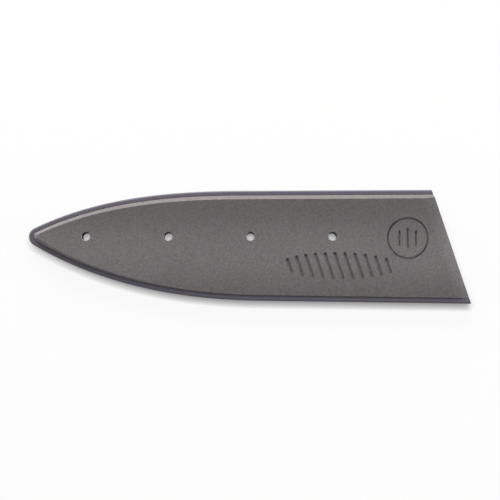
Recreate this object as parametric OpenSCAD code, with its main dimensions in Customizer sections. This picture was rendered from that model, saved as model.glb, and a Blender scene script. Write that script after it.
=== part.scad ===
// Blade guard for a chef's knife, lying on its back.
// Two hard covers clamp the tongue of one soft rim, and the blade slides in
// through the open mouth.
// X runs along the guard from the tip (-X) to the mouth (+X), Y runs across it
// from the cutting edge (-Y) to the spine (+Y), and Z is up.
// The origin is the middle of the footprint, on the surface that it rests on.

/* [Outline] */
// Overall length, from the tip to the long corner of the mouth
guard_len = 215.2; // [170:0.2:260]
// Overall width at the mouth
guard_w = 55.7; // [46:0.1:70]
// Slant of the mouth away from square, in degrees
mouth_slant = 18.4; // [0:0.1:30]
// Height of the tip above the middle of the width
tip_rise = 4.8; // [-2:0.1:8]
// Radius of the rounded tip
tip_r = 4.7; // [3.5:0.1:8]
// Length of the straight run of the spine side
spine_run = 94; // [70:1:110]
// Fall of that straight run, in degrees
spine_fall = 0.3; // [0:0.1:2]
// Slope at which the spine side meets the tip, in degrees
spine_tip_slope = 26; // [18:0.5:34]
// Length of the straight run of the cutting-edge side
edge_run = 103; // [80:1:120]
// Rise of that straight run, in degrees
edge_rise = 0.8; // [0:0.1:2]
// Slope at which the cutting-edge side meets the tip, in degrees
edge_tip_slope = 30.5; // [20:0.5:38]
// Fullness of the curves between the straight runs and the tip
curve_fullness = 0.34; // [0.28:0.01:0.4]

/* [Blade pocket] */
// Height of the pocket along the spine
pocket_gap = 5.2; // [4.6:0.1:8]
// Gap between the rim's tongue and each cover, where the cutting edge lies
tongue_clear = 0.1; // [0.1:0.05:0.5]
// Width of the flange on which each cover meets the tongue
flange_w = 2.5; // [2:0.1:4]

/* [Covers] */
// Thickness of each cover's wall
wall = 1.6; // [1.4:0.1:2.4]
// Length over which the faces roll down to the mouth
roll_len = 6.5; // [3:0.1:12]
// Drop of the faces at the mouth
roll_drop = 0.7; // [0.2:0.05:0.9]

/* [Rim] */
// Width of the bead that shows round the outside
bead_w = 2.2; // [2:0.1:3.5]
// Depth of the faces below which the bead stays, at the cutting edge
bead_sink = 0.3; // [0.2:0.05:0.8]
// Radius of the bead's outer corners
bead_round = 0.9; // [0.8:0.1:1.7]
// Width of the shadow groove between the bead and the covers
groove_w = 0.2; // [0.15:0.05:0.6]
// Depth of that groove
groove_depth = 0.3; // [0.3:0.1:1.1]
// Thickness of the tongue between the covers
tongue_t = 1.2; // [1:0.1:2]
// Reach of the tongue past the flanges, as a stop for the cutting edge
stop_reach = 0.8; // [0.4:0.1:1.5]

/* [Posts] */
// Diameter of the posts that join the covers through the tongue
post_d = 1.2; // [1:0.1:1.4]
// Clearance of each post in the tongue and in its socket
post_clear = 0.05; // [0.03:0.01:0.1]
// Length of each post inside its socket
post_grip = 0.9; // [0.6:0.1:1]
// Room past the end of each post
post_end_gap = 0.1; // [0.05:0.05:0.2]
// Number of posts along each straight run
run_posts = 3; // [2:1:5]
// Number of posts along each curve
curve_posts = 4; // [2:1:6]

/* [Vents] */
// Number of vent holes
vent_count = 4; // [1:1:5]
// Spacing of the vent holes
vent_pitch = 40; // [30:0.5:42]
// Distance of the first vent hole from the tip
vent_from_tip = 28.1; // [26:0.1:36]
// Height of the vent holes above the middle of the width
vent_rise = 4.8; // [0:0.1:8]
// Diameter of the vent holes
vent_d = 4; // [3:0.1:5]
// Chamfer round each vent hole on the outer faces
vent_chamfer = 0.3; // [0.2:0.05:0.5]

/* [Grip ribs] */
// Height of each soft rib above the inner face
rib_h = 1; // [0.5:0.1:1]
// Depth at which each rib is seated in the cover
rib_seat = 0.5; // [0.3:0.1:0.7]
// Heights of the three ribs above the middle of the width
rib_rises = [12, -4, -13];
// Distance of the ribs from the mouth
rib_setback = 12; // [9:0.5:20]
// Slope of the ribs' lead-in, in degrees
rib_lead = 40; // [25:1:60]
// Distance of the ribs' far ends from the flange
rib_end_gap = 3; // [2:0.5:6]

/* [Thumb marks] */
// Depth of the recessed marks on the front cover
mark_depth = 0.3; // [0.15:0.05:0.4]
// Diameter of the recessed ring, along the middle of its line
ring_d = 19.5; // [12:0.5:22]
// Width of the ring's line, and of the short grooves inside it
ring_line = 1; // [0.6:0.1:1.4]
// Distance of the ring's middle from the mouth, along the guard
ring_from_mouth = 20; // [18:0.5:30]
// Height of the ring's middle above the middle of the width
ring_rise = 3.9; // [0:0.1:8]
// Number of grooves inside the ring
ring_grooves = 3; // [1:1:5]
// Spacing of the grooves inside the ring
ring_groove_pitch = 4; // [2.5:0.1:5]
// Number of slanted grip grooves beside the ring
grip_grooves = 11; // [5:1:12]
// Spacing of the grip grooves
grip_pitch = 4.8; // [3.5:0.1:5]
// Width of each grip groove
grip_line = 1.6; // [1:0.1:2.2]
// Length of the longest grip groove
grip_len = 14; // [8:0.5:15]
// Distance of the middle of the grip grooves from the mouth, along the guard
grip_from_mouth = 58; // [50:0.5:70]
// Height of the grip grooves' middle below the middle of the width
grip_drop = 9.5; // [6:0.1:11]

/* [Hidden] */
$fn = 48;

// Steps along each curve, and round the tip
curve_steps = 26;
tip_steps = 12;
// Steps round each rounded corner of the bead
round_steps = 4;
// Anything longer than the guard, for cuts that go right through
beyond = 2 * guard_len;
// How far the blanks run past the mouth before they are cut to it
overrun = 30;
// A small overlap where one cut passes another's surface
nick = 0.01;
// Thickness of the slices that a blank is stretched over
slice_t = 0.1;

half_w = guard_w / 2;
cover_inset = bead_w + groove_w;
pocket_inset = cover_inset + flange_w;
tongue_half = tongue_t / 2;

// Half heights at the covers' outer walls: inside, then outside
spine_in = pocket_gap / 2;
edge_in = tongue_half + tongue_clear;
spine_out = spine_in + wall;
edge_out = edge_in + wall;
bead_half = edge_out - bead_sink;
wedge = atan((spine_out - edge_out) / (guard_w - 2 * cover_inset));
mid_in = (spine_in + edge_in) / 2;
mid_out = mid_in + wall;

tip_centre = [tip_r - guard_len / 2, tip_rise];
roll_r = (roll_len * roll_len + roll_drop * roll_drop) / (2 * roll_drop);

// Where the mouth crosses a height above the middle of the width
function mouth_x(y) = guard_len / 2 - (y + half_w) * tan(mouth_slant);

function unit(v) = v / norm(v);
function bezier(p, t) =
    pow(1 - t, 3) * p[0] + 3 * pow(1 - t, 2) * t * p[1] + 3 * (1 - t) * t * t * p[2] + pow(t, 3) * p[3];
function bezier_dir(p, t) =
    unit(pow(1 - t, 2) * (p[1] - p[0]) + 2 * (1 - t) * t * (p[2] - p[1]) + t * t * (p[3] - p[2]));

// Each side is described by its sign, +1 for the spine and -1 for the edge
function side_slope(s) = s > 0 ? spine_fall : edge_rise;
function side_run(s) = s > 0 ? spine_run : edge_run;
function side_tip_slope(s) = s > 0 ? spine_tip_slope : edge_tip_slope;
function side_corner(s) = [mouth_x(s * half_w), s * half_w];
function heading(s, slope) = [-cos(slope), -s * sin(slope)];
function inward(s, dir) = s * [-dir[1], dir[0]];

function curve_start(s) = side_corner(s) + side_run(s) * heading(s, side_slope(s));
function curve_end(s) = tip_centre - tip_r * inward(s, heading(s, side_tip_slope(s)));
function curve_ctrl(s) = let (
        a = curve_start(s),
        d = curve_end(s),
        pull = curve_fullness * norm(d - a)
    )
    [a, a + pull * heading(s, side_slope(s)), d - pull * heading(s, side_tip_slope(s)), d];

// A station is a point of the outline and the direction straight inwards
function run_station(s, from_corner) = [
    side_corner(s) + from_corner * heading(s, side_slope(s)),
    inward(s, heading(s, side_slope(s)))
];
function curve_station(s, t) = [
    bezier(curve_ctrl(s), t),
    inward(s, bezier_dir(curve_ctrl(s), t))
];
function tip_station(angle) = [
    tip_centre + tip_r * [cos(angle), sin(angle)],
    -[cos(angle), sin(angle)]
];

tip_from = 90 + spine_tip_slope;
tip_to = 270 - edge_tip_slope;
stations = concat(
    [run_station(1, -overrun)],
    [for (i = [0 : curve_steps]) curve_station(1, i / curve_steps)],
    [for (i = [1 : tip_steps - 1]) tip_station(tip_from + (tip_to - tip_from) * i / tip_steps)],
    [for (i = [curve_steps : -1 : 0]) curve_station(-1, i / curve_steps)],
    [run_station(-1, -overrun)]
);

post_places = concat(
    [for (s = [1, -1], i = [0 : run_posts - 1]) run_station(s, side_run(s) * (i + 0.6) / run_posts)],
    [for (s = [1, -1], i = [0 : curve_posts - 1]) curve_station(s, (i + 0.5) / curve_posts)]
);

vent_places = [for (i = [0 : vent_count - 1]) [vent_from_tip - guard_len / 2 + i * vent_pitch, vent_rise]];
ring_at = [mouth_x(ring_rise) - ring_from_mouth, ring_rise];
grip_at = [mouth_x(-grip_drop) - grip_from_mouth, -grip_drop];

// Outlines and blanks

module outline(inset) {
    offset(delta = -inset) polygon([for (s = stations) s[0]]);
}

// A thin slice of the blank, whose top is at one height
module slice(height, inset) {
    translate([0, 0, height - slice_t]) linear_extrude(slice_t) outline(inset);
}

// The bead with its rounded outer corners, still filled inside
module bead_blank() {
    hull() for (side = [0, 1], i = [0 : round_steps]) let (angle = 90 * i / round_steps)
        mirror([0, 0, side]) slice(bead_half - bead_round * (1 - cos(angle)), bead_round * (1 - sin(angle)));
}

// What is taken off above the tongue: the covers' space and the groove
module above_tongue() {
    translate([0, 0, tongue_half]) linear_extrude(spine_out) outline(cover_inset);
    translate([0, 0, bead_half - groove_depth]) linear_extrude(spine_out) outline(bead_w);
}

// Lays the pair of covers down, so that the back cover's face is level
module lay_down() {
    translate([0, 0, mid_out * cos(wedge)]) rotate([wedge, 0, 0]) children();
}

// Puts children on a plane of the wedge that crosses the middle of the width at this height
module on_wedge(height) {
    translate([0, 0, height]) rotate([wedge, 0, 0]) children();
}

module below_wedge(height) {
    on_wedge(height) translate([-beyond / 2, -beyond / 2, -beyond]) cube(beyond);
}

// Puts children at the mouth, with +X straight out of it
module at_mouth() {
    translate([mouth_x(0), 0, 0]) rotate([0, 0, mouth_slant]) children();
}

module past_mouth() {
    at_mouth() translate([0, -beyond / 2, -beyond / 2]) cube(beyond);
}

// What is taken off so that the face rolls down to the mouth
module mouth_roll() {
    on_wedge(mid_out) at_mouth() difference() {
        translate([-roll_len, -guard_w, -2 * roll_drop]) cube([2 * roll_len, 2 * guard_w, 2 * mid_out]);
        translate([-roll_len, 0, nick - roll_r]) rotate([90, 0, 0])
            cylinder(r = roll_r, h = 3 * guard_w, center = true, $fn = 240);
    }
}

// A plate whose side leans in by 45 degrees above the bead's height
module bevelled_blank() {
    rise = spine_out - bead_half + wall;
    hull() {
        translate([0, 0, tongue_half]) linear_extrude(bead_half - tongue_half) outline(cover_inset);
        translate([0, 0, bead_half]) linear_extrude(rise) outline(cover_inset + rise);
    }
}

module pocket() {
    intersection() {
        translate([0, 0, -wall]) linear_extrude(beyond) outline(pocket_inset);
        below_wedge(mid_in);
    }
}

// Features of the covers

module vent_hole(at) {
    translate([at[0], at[1], 0]) cylinder(d = vent_d, h = 4 * spine_out, center = true);
    on_wedge(mid_out) translate([at[0], at[1], -vent_chamfer])
        cylinder(d1 = vent_d, d2 = vent_d + 4 * vent_chamfer, h = 2 * vent_chamfer);
}

module posts(radius, height) {
    for (p = post_places) let (at = p[0] + (cover_inset + flange_w / 2) * p[1])
        translate([at[0], at[1], tongue_half - height - nick]) cylinder(r = radius, h = height + 2 * nick, $fn = 24);
}

module slot(length, width) {
    square([width, length - width], center = true);
    for (side = [-1, 1]) translate([0, side * (length - width) / 2]) circle(d = width);
}

module ring_mark() {
    difference() {
        circle(d = ring_d + ring_line, $fn = 96);
        circle(d = ring_d - ring_line, $fn = 96);
    }
    reach = (ring_grooves - 1) / 2;
    for (i = [-reach : reach]) translate([i * ring_groove_pitch, 0])
        slot(ring_d / 2 - abs(i) * ring_groove_pitch / 2, ring_line);
}

// The grip grooves lean with the mouth, and the outer ones are shorter
module grip_mark() {
    reach = (grip_grooves - 1) / 2;
    for (i = [-reach : reach]) translate([i * grip_pitch, 0]) rotate(mouth_slant)
        slot(grip_len * sqrt(1 - pow(i / (reach + 1), 2)), grip_line);
}

module marks() {
    on_wedge(mid_out) translate([0, 0, -mark_depth]) linear_extrude(2 * mark_depth) {
        translate(ring_at) ring_mark();
        translate(grip_at) grip_mark();
    }
}

// Cuts strips to the pocket at the tip, and sets them back from the mouth with a lead-in
module fit_ribs() {
    difference() {
        intersection() {
            for (rise = rib_rises) on_wedge(mid_in) translate([0, rise, 0]) children();
            linear_extrude(beyond, center = true) outline(pocket_inset + rib_end_gap);
        }
        on_wedge(mid_in) at_mouth() translate([-rib_setback, 0, 0]) rotate([0, -rib_lead, 0])
            translate([-beyond / 2, -beyond / 2, -beyond]) cube(beyond);
    }
}

// One strip as wide as a rib, between two heights above the inner face
module strip(low, high) {
    translate([-beyond / 2, -rib_h, low]) cube([beyond, 2 * rib_h, high - low]);
}

module grip_ribs() {
    fit_ribs() {
        strip(0, rib_seat);
        intersection() {
            strip(-2 * rib_h, nick);
            rotate([0, 90, 0]) cylinder(r = rib_h, h = beyond, center = true, $fn = 32);
        }
    }
}

// One cover above the seam, without marks and posts
module cover() {
    difference() {
        intersection() {
            bevelled_blank();
            below_wedge(mid_out);
        }
        pocket();
        mouth_roll();
        past_mouth();
        fit_ribs() strip(-rib_h, rib_seat);
        for (at = vent_places) vent_hole(at);
    }
}

// Pieces

module front_cover() {
    color([0.40, 0.385, 0.38]) lay_down() difference() {
        cover();
        marks();
        translate([0, 0, post_grip + post_end_gap]) posts(post_d / 2 + post_clear, post_grip + post_end_gap);
    }
}

module back_cover() {
    color([0.40, 0.385, 0.38]) lay_down() {
        mirror([0, 0, 1]) cover();
        translate([0, 0, post_grip]) posts(post_d / 2, post_grip + tongue_t);
    }
}

module edge_rim() {
    color([0.42, 0.40, 0.45]) lay_down() difference() {
        bead_blank();
        for (side = [0, 1]) mirror([0, 0, side]) above_tongue();
        linear_extrude(beyond, center = true) outline(pocket_inset + stop_reach);
        past_mouth();
        posts(post_d / 2 + post_clear, tongue_t);
    }
}

module front_grip_ribs() {
    color([0.42, 0.40, 0.45]) lay_down() grip_ribs();
}

module back_grip_ribs() {
    color([0.42, 0.40, 0.45]) lay_down() mirror([0, 0, 1]) grip_ribs();
}

front_cover();
back_cover();
edge_rim();
front_grip_ribs();
back_grip_ribs();
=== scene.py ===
import math

import bpy
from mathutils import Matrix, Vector


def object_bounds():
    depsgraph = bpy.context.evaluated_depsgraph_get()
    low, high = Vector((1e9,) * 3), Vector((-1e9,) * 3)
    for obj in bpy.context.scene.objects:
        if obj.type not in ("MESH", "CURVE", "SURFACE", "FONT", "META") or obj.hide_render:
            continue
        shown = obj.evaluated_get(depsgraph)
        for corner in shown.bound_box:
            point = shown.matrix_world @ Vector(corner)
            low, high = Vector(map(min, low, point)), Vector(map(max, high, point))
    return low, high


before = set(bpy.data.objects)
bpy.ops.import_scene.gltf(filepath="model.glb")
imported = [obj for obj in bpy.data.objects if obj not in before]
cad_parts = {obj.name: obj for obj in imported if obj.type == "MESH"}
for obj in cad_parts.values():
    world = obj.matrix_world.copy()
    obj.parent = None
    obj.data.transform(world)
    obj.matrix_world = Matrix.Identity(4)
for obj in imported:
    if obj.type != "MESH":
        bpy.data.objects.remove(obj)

CAD_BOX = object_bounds()
MM = 0.001

# The photograph's frame: where the middle of the guard lies in it, and its scale
IMAGE_PIXELS = 500
METRES_PER_PIXEL = 0.4878 * MM
GUARD_PIXEL_X = 249.4
GUARD_PIXEL_Y = 246.5

# The camera looks down on the guard and leans a little towards the cutting edge
CAMERA_DISTANCE = 0.62
CAMERA_LEAN = math.radians(7)

# Lights: direction across the floor, height above the horizon, share of the light on a level face
LIGHT_DISTANCE = 1.1
KEY_LIGHT = {"turn": 102, "height": 15, "share": 0.63, "size": (1.3, 0.3), "colour": (1, 0.965, 0.94)}
SIDE_LIGHT = {"turn": 0, "height": 10, "share": 0.2, "size": (0.9, 0.3), "colour": (1, 1, 1)}
TIP_LIGHT = {"turn": 190, "height": 12, "share": 0.08, "size": (0.9, 0.3), "colour": (1, 1, 1)}
SKY_SHARE = 0.13

# How far the floor reaches from the guard, in metres, and its surface
FLOOR_REACH = 3
FLOOR_ROUGHNESS = 0.9
# Share of the floor's white that is its own glow, for a studio sheet lit from below
FLOOR_GLOW = 0.92
# Reach of the glow's contact shadow, and the side that its light comes from
CONTACT_REACH = 4 * MM
CONTACT_SIDE = (0, 0.9, 0.45)
CONTACT_SAMPLES = 12

# Colours, as linear values
COVER_COLOUR = (0.163, 0.153, 0.156)
RIM_COLOUR = (0.125, 0.117, 0.146)
FLOOR_COLOUR = (0.98, 0.98, 0.98)

# Gloss: the lowest and highest roughness, and the specular level
COVER_ROUGHNESS = (0.66, 0.76)
COVER_SPECULAR = 0.25
RIM_ROUGHNESS = (0.56, 0.66)
RIM_SPECULAR = 0.35

# The cover's painted sheen band, lighter along its middle, with painted shade towards its edges: its
# middle across the guard, the reach of its fade, and its shades
PAINTED_SHEEN_MIDDLE = -4 * MM
PAINTED_SHEEN_REACH = (2 * MM, 24 * MM)
PAINTED_SHEEN_SHADES = (1.26, 0.88)

# The range that most of a noise texture lies in
NOISE_LOW = 0.3
NOISE_HIGH = 0.7

# Width of the softened edges on the moulded parts, and the least angle that is softened
COVER_SOFTNESS = 0.12 * MM
RIM_SOFTNESS = 0.08 * MM
SOFT_EDGE_ANGLE = math.radians(28)
SOFT_EDGE_STEPS = 2
# Facets that meet below this angle are merged
FLAT_ANGLE = math.radians(0.2)


class Nodes:
    """Short ways to add shader nodes to one material."""

    def __init__(self, name):
        self.material = bpy.data.materials.new(name)
        self.material.use_nodes = True
        self.tree = self.material.node_tree
        self.shader = self.tree.nodes["Principled BSDF"]
        self.place = self.add("ShaderNodeTexCoord").outputs["Object"]

    def add(self, kind, **inputs):
        node = self.tree.nodes.new(kind)
        for name, value in inputs.items():
            self.feed(node.inputs[name.replace("_", " ")], value)
        return node

    def feed(self, socket, value):
        if isinstance(value, bpy.types.NodeSocket):
            self.tree.links.new(value, socket)
        else:
            socket.default_value = value

    def noise(self, size, detail=2.0, stretch=(1, 1, 1)):
        """Noise whose blotches are about size across, in metres."""
        spread = self.add("ShaderNodeVectorMath")
        spread.operation = "MULTIPLY"
        self.feed(spread.inputs[0], self.place)
        spread.inputs[1].default_value = stretch
        noise = self.add("ShaderNodeTexNoise", Vector=spread.outputs[0], Scale=1 / size, Detail=detail)
        return noise.outputs["Fac"]

    def cells(self, size):
        """Distance to the nearest of scattered points about size apart, in metres."""
        return self.add("ShaderNodeTexVoronoi", Vector=self.place, Scale=1 / size).outputs["Distance"]

    def math(self, operation, *values):
        node = self.add("ShaderNodeMath")
        node.operation = operation
        for socket, value in zip(node.inputs, values):
            self.feed(socket, value)
        return node.outputs[0]

    def fit(self, value, low, high):
        """Turns the range of a noise texture into low to high."""
        return self.ramp(value, (NOISE_LOW, NOISE_HIGH), (low, high)).outputs[0]

    def ramp(self, value, taken, given):
        """A node that turns the range taken into the range given."""
        node = self.add("ShaderNodeMapRange", Value=value)
        node.inputs["From Min"].default_value, node.inputs["From Max"].default_value = taken
        node.inputs["To Min"].default_value, node.inputs["To Max"].default_value = given
        return node

    def tint(self, colour, factor):
        """The colour times a factor that changes over the surface."""
        node = self.add("ShaderNodeVectorMath")
        node.operation = "SCALE"
        node.inputs[0].default_value = colour
        self.feed(node.inputs["Scale"], factor)
        return node.outputs[0]

    def bump(self, *layers):
        """Stacks height layers, each a value and its depth in metres."""
        normal = None
        for value, depth in layers:
            node = self.add("ShaderNodeBump", Height=value, Strength=1.0, Distance=depth)
            if normal is not None:
                self.feed(node.inputs["Normal"], normal)
            normal = node.outputs[0]
        self.feed(self.shader.inputs["Normal"], normal)


def cover_plastic():
    """Hard plastic with an eroded grain, and a painted sheen that makes it a little lighter in a band
    along its middle, with painted shade towards its edges.
    """
    mat = Nodes("cover_plastic")
    grain = mat.noise(0.35 * MM, detail=4)
    mottle = mat.noise(1.1 * MM, detail=3)
    cloud = mat.noise(26 * MM, detail=1, stretch=(1, 1.6, 1))
    across = mat.add("ShaderNodeSeparateXYZ", Vector=mat.place).outputs["Y"]
    # Painted sheen and shade: the base colour is made lighter along the middle and darker towards the
    # edges, in place of light
    off_painted_sheen_middle = mat.math("ABSOLUTE", mat.math("SUBTRACT", across, PAINTED_SHEEN_MIDDLE))
    painted_sheen = mat.ramp(off_painted_sheen_middle, PAINTED_SHEEN_REACH, PAINTED_SHEEN_SHADES)
    painted_sheen.interpolation_type = "SMOOTHSTEP"
    speckle = mat.math("MULTIPLY", mat.fit(grain, 0.86, 1.14), mat.fit(mottle, 0.84, 1.16))
    shade = mat.math("MULTIPLY", speckle, mat.fit(cloud, 0.985, 1.015))
    # The grain and random tone are multiplied by the painted sheen and shade
    factor = mat.math("MULTIPLY", shade, painted_sheen.outputs[0])
    mat.feed(mat.shader.inputs["Base Color"], mat.tint(COVER_COLOUR, factor))
    mat.feed(mat.shader.inputs["Roughness"], mat.fit(mottle, *COVER_ROUGHNESS))
    mat.shader.inputs["Specular IOR Level"].default_value = COVER_SPECULAR
    mat.bump((grain, 0.03 * MM), (mat.cells(0.5 * MM), 0.015 * MM), (mottle, 0.02 * MM))
    return mat.material


def rim_plastic():
    """Soft plastic with a dull skin and faint flow lines along the guard."""
    mat = Nodes("rim_soft")
    grain = mat.noise(0.25 * MM, detail=3)
    flow = mat.noise(1.1 * MM, detail=2, stretch=(0.08, 1, 1))
    factor = mat.math("MULTIPLY", mat.fit(grain, 0.95, 1.05), mat.fit(flow, 0.95, 1.05))
    mat.feed(mat.shader.inputs["Base Color"], mat.tint(RIM_COLOUR, factor))
    mat.feed(mat.shader.inputs["Roughness"], mat.fit(flow, *RIM_ROUGHNESS))
    mat.shader.inputs["Specular IOR Level"].default_value = RIM_SPECULAR
    mat.bump((grain, 0.008 * MM), (flow, 0.01 * MM))
    return mat.material


def soften(node, width):
    """Merges flat facets and rounds the moulded edges of a CAD node."""
    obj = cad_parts[node]
    obj.data.shade_smooth()
    obj.data.set_sharp_from_angle(angle=SOFT_EDGE_ANGLE)
    merge = obj.modifiers.new("merge_flat_facets", "DECIMATE")
    merge.decimate_type = "DISSOLVE"
    merge.angle_limit = FLAT_ANGLE
    bevel = obj.modifiers.new("soft_edges", "BEVEL")
    bevel.width = width
    bevel.segments = SOFT_EDGE_STEPS
    bevel.limit_method = "ANGLE"
    bevel.angle_limit = SOFT_EDGE_ANGLE
    bevel.harden_normals = True
    bevel.use_clamp_overlap = True


def dress(node, material, softness):
    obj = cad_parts[node]
    obj.data.materials.clear()
    obj.data.materials.append(material)
    soften(node, softness)


def link(name, data):
    obj = bpy.data.objects.new(name, data)
    bpy.context.collection.objects.link(obj)
    return obj


def add_light(name, facts):
    """An area light aimed at the guard, bright enough for its share of a level face's light."""
    turn, height = math.radians(facts["turn"]), math.radians(facts["height"])
    level = math.cos(height)
    towards = Vector((math.cos(turn) * level, math.sin(turn) * level, math.sin(height)))
    light = bpy.data.lights.new(name, "AREA")
    light.shape = "RECTANGLE"
    light.size, light.size_y = facts["size"]
    light.color = facts["colour"]
    light.energy = facts["share"] * math.pi**2 * LIGHT_DISTANCE**2 / math.sin(height)
    obj = link(name, light)
    obj.location = towards * LIGHT_DISTANCE
    obj.rotation_euler = (-towards).to_track_quat("-Z", "Y").to_euler()


def add_camera():
    camera = bpy.data.cameras.new("camera")
    camera.angle = 2 * math.atan(METRES_PER_PIXEL * IMAGE_PIXELS / 2 / CAMERA_DISTANCE)
    obj = link("camera", camera)
    middle = IMAGE_PIXELS / 2
    aim = Vector(
        (
            (middle - GUARD_PIXEL_X) * METRES_PER_PIXEL,
            (GUARD_PIXEL_Y - middle) * METRES_PER_PIXEL / math.cos(CAMERA_LEAN),
            CAD_BOX[1][2] / 2,
        )
    )
    obj.location = aim + CAMERA_DISTANCE * Vector((0, -math.sin(CAMERA_LEAN), math.cos(CAMERA_LEAN)))
    obj.rotation_euler = (CAMERA_LEAN, 0, 0)
    bpy.context.scene.camera = obj


def seen_straight(tree):
    """1 on rays from the camera, from gloss and through glass, 0 on light for the object."""
    path = tree.nodes.new("ShaderNodeLightPath")
    total = path.outputs["Is Camera Ray"]
    for name in ("Is Glossy Ray", "Is Transmission Ray"):
        either = tree.nodes.new("ShaderNodeMath")
        either.operation = "MAXIMUM"
        tree.links.new(total, either.inputs[0])
        tree.links.new(path.outputs[name], either.inputs[1])
        total = either.outputs[0]
    return total


def add_floor():
    """A white sheet that glows for the camera, and still holds a soft shadow and a contact shadow."""
    mesh = bpy.data.meshes.new("floor")
    corners = [(x * FLOOR_REACH, y * FLOOR_REACH, 0) for x, y in ((-1, -1), (1, -1), (1, 1), (-1, 1))]
    mesh.from_pydata(corners, [], [(0, 1, 2, 3)])
    floor = link("floor", mesh)
    mat = bpy.data.materials.new("floor")
    mat.use_nodes = True
    tree = mat.node_tree
    shader = tree.nodes["Principled BSDF"]
    shader.inputs["Base Color"].default_value = (*FLOOR_COLOUR, 1)
    shader.inputs["Roughness"].default_value = FLOOR_ROUGHNESS
    glow = tree.nodes.new("ShaderNodeEmission")
    contact = tree.nodes.new("ShaderNodeAmbientOcclusion")
    contact.samples = CONTACT_SAMPLES
    contact.inputs["Distance"].default_value = CONTACT_REACH
    side = tree.nodes.new("ShaderNodeCombineXYZ")
    for socket, value in zip(side.inputs, CONTACT_SIDE):
        socket.default_value = value
    tree.links.new(side.outputs[0], contact.inputs["Normal"])
    tree.links.new(contact.outputs["Color"], glow.inputs["Color"])
    share = tree.nodes.new("ShaderNodeMath")
    share.operation = "MULTIPLY"
    share.inputs[1].default_value = FLOOR_GLOW
    mix = tree.nodes.new("ShaderNodeMixShader")
    tree.links.new(seen_straight(tree), share.inputs[0])
    tree.links.new(share.outputs[0], mix.inputs["Fac"])
    tree.links.new(shader.outputs[0], mix.inputs[1])
    tree.links.new(glow.outputs[0], mix.inputs[2])
    tree.links.new(mix.outputs[0], tree.nodes["Material Output"].inputs["Surface"])
    mesh.materials.append(mat)


def set_world():
    """A dim even sky for the object, which the camera and reflections see as white."""
    world = bpy.data.worlds.new("world")
    bpy.context.scene.world = world
    world.use_nodes = True
    tree = world.node_tree
    back = tree.nodes["Background"]
    back.inputs["Color"].default_value = (1, 1, 1, 1)
    strength = tree.nodes.new("ShaderNodeMapRange")
    strength.inputs["To Min"].default_value = SKY_SHARE
    strength.inputs["To Max"].default_value = 1
    tree.links.new(seen_straight(tree), strength.inputs["Value"])
    tree.links.new(strength.outputs[0], back.inputs["Strength"])


bpy.context.scene.view_settings.view_transform = "Standard"
add_camera()
add_floor()
set_world()
add_light("key_light", KEY_LIGHT)
add_light("side_light", SIDE_LIGHT)
add_light("tip_light", TIP_LIGHT)

cover = cover_plastic()
rim = rim_plastic()
for name in ("front_cover", "back_cover"):
    dress(name, cover, COVER_SOFTNESS)
for name in ("edge_rim", "front_grip_ribs", "back_grip_ribs"):
    dress(name, rim, RIM_SOFTNESS)
